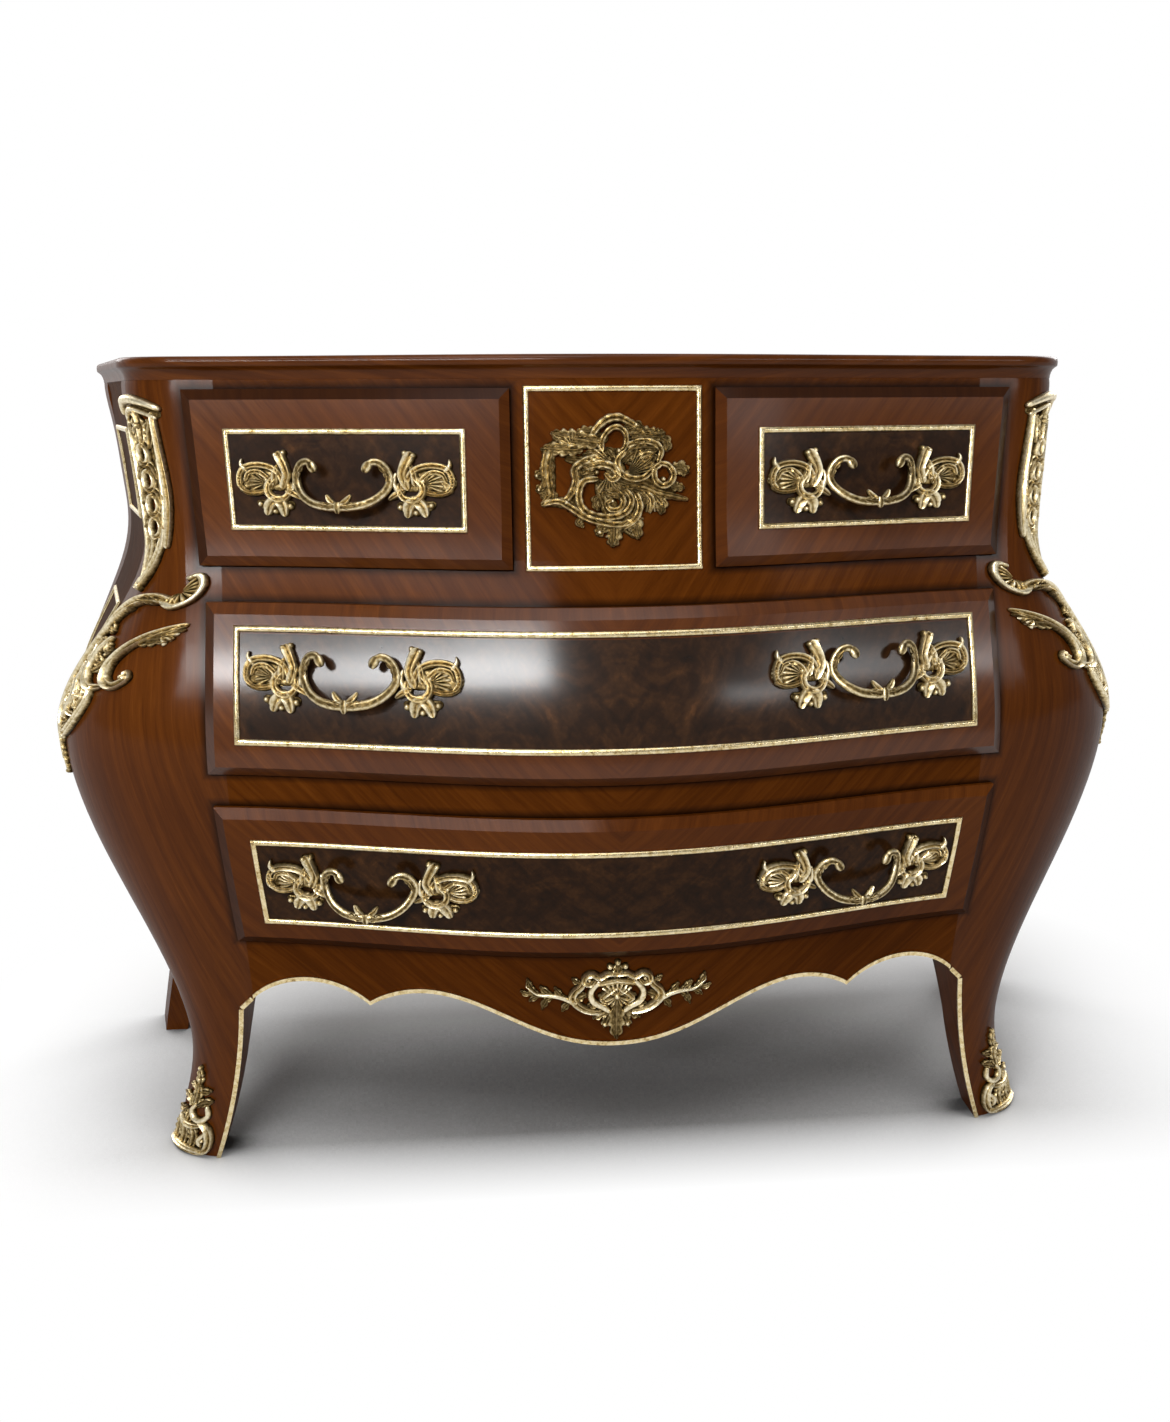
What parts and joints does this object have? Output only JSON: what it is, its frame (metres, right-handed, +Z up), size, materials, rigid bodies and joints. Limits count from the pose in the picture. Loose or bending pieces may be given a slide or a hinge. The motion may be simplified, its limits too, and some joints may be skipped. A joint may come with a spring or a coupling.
{
  "type": "commode chest",
  "caption": "Bombe serpentine-front commode with drawers on slides, bevelled lipped fronts, curved legs, brass stringing and cast leaf-scroll mounts and pulls.",
  "frame": {"origin": "on the floor, at the middle of the width and of the depth", "axes": "+X to the right as the chest is faced, +Y towards its back, +Z up"},
  "size_m": [1.2916, 0.4724, 0.88],
  "materials": {
    "veneer": "high-gloss lacquered red-brown veneer",
    "plain_timber": "planed, waxed",
    "cast_brass": "aged gilt casting",
    "brass_stringing": "polished half-round strip",
    "fasteners": "turned"
  },
  "bodies": {
    "carcass": {"apron_banding": "brass_stringing", "apron_mount": "cast_brass", "back_panel": "plain_timber", "centre_cartouche": "cast_brass", "centre_panel": "veneer", "centre_panel_banding": "brass_stringing", "drawer_guides": "plain_timber", "drawer_partitions": "plain_timber", "front_apron": "veneer", "left_foot_sabot": "cast_brass", "left_front_post": "veneer", "left_lower_corner_mount": "cast_brass", "left_rear_post": "veneer", "left_side_banding": "brass_stringing", "left_side_panel": "veneer", "left_upper_corner_mount": "cast_brass", "lower_drawer_rail": "veneer", "lower_dustboard": "plain_timber", "middle_dustboard": "plain_timber", "right_foot_sabot": "cast_brass", "right_front_post": "veneer", "right_lower_corner_mount": "cast_brass", "right_rear_post": "veneer", "right_side_banding": "brass_stringing", "right_side_panel": "veneer", "right_upper_corner_mount": "cast_brass", "top_board": "veneer", "top_front_rail": "veneer", "upper_drawer_rail": "veneer", "upper_dustboard": "plain_timber"},
    "top_left_drawer": {"top_left_drawer_back": "plain_timber", "top_left_drawer_banding": "brass_stringing", "top_left_drawer_bottom": "plain_timber", "top_left_drawer_front": "veneer", "top_left_drawer_sides": "plain_timber", "top_left_pull": "cast_brass", "top_left_pull_bolts": "fasteners"},
    "top_right_drawer": {"top_right_drawer_back": "plain_timber", "top_right_drawer_banding": "brass_stringing", "top_right_drawer_bottom": "plain_timber", "top_right_drawer_front": "veneer", "top_right_drawer_sides": "plain_timber", "top_right_pull": "cast_brass", "top_right_pull_bolts": "fasteners"},
    "middle_drawer": {"middle_drawer_back": "plain_timber", "middle_drawer_banding": "brass_stringing", "middle_drawer_bottom": "plain_timber", "middle_drawer_front": "veneer", "middle_drawer_sides": "plain_timber", "middle_left_pull": "cast_brass", "middle_pull_bolts": "fasteners", "middle_right_pull": "cast_brass"},
    "lower_drawer": {"lower_drawer_back": "plain_timber", "lower_drawer_banding": "brass_stringing", "lower_drawer_bottom": "plain_timber", "lower_drawer_front": "veneer", "lower_drawer_sides": "plain_timber", "lower_left_pull": "cast_brass", "lower_pull_bolts": "fasteners", "lower_right_pull": "cast_brass"}
  },
  "joints": [
    {"name": "top_left_drawer_slide", "type": "slide", "parent": "carcass", "child": "top_left_drawer", "axis": [0, -1, 0], "range_m": [0, 0.26]},
    {"name": "top_right_drawer_slide", "type": "slide", "parent": "carcass", "child": "top_right_drawer", "axis": [0, -1, 0], "range_m": [0, 0.26]},
    {"name": "middle_drawer_slide", "type": "slide", "parent": "carcass", "child": "middle_drawer", "axis": [0, -1, 0], "range_m": [0, 0.26]},
    {"name": "lower_drawer_slide", "type": "slide", "parent": "carcass", "child": "lower_drawer", "axis": [0, -1, 0], "range_m": [0, 0.26]}
  ]
}
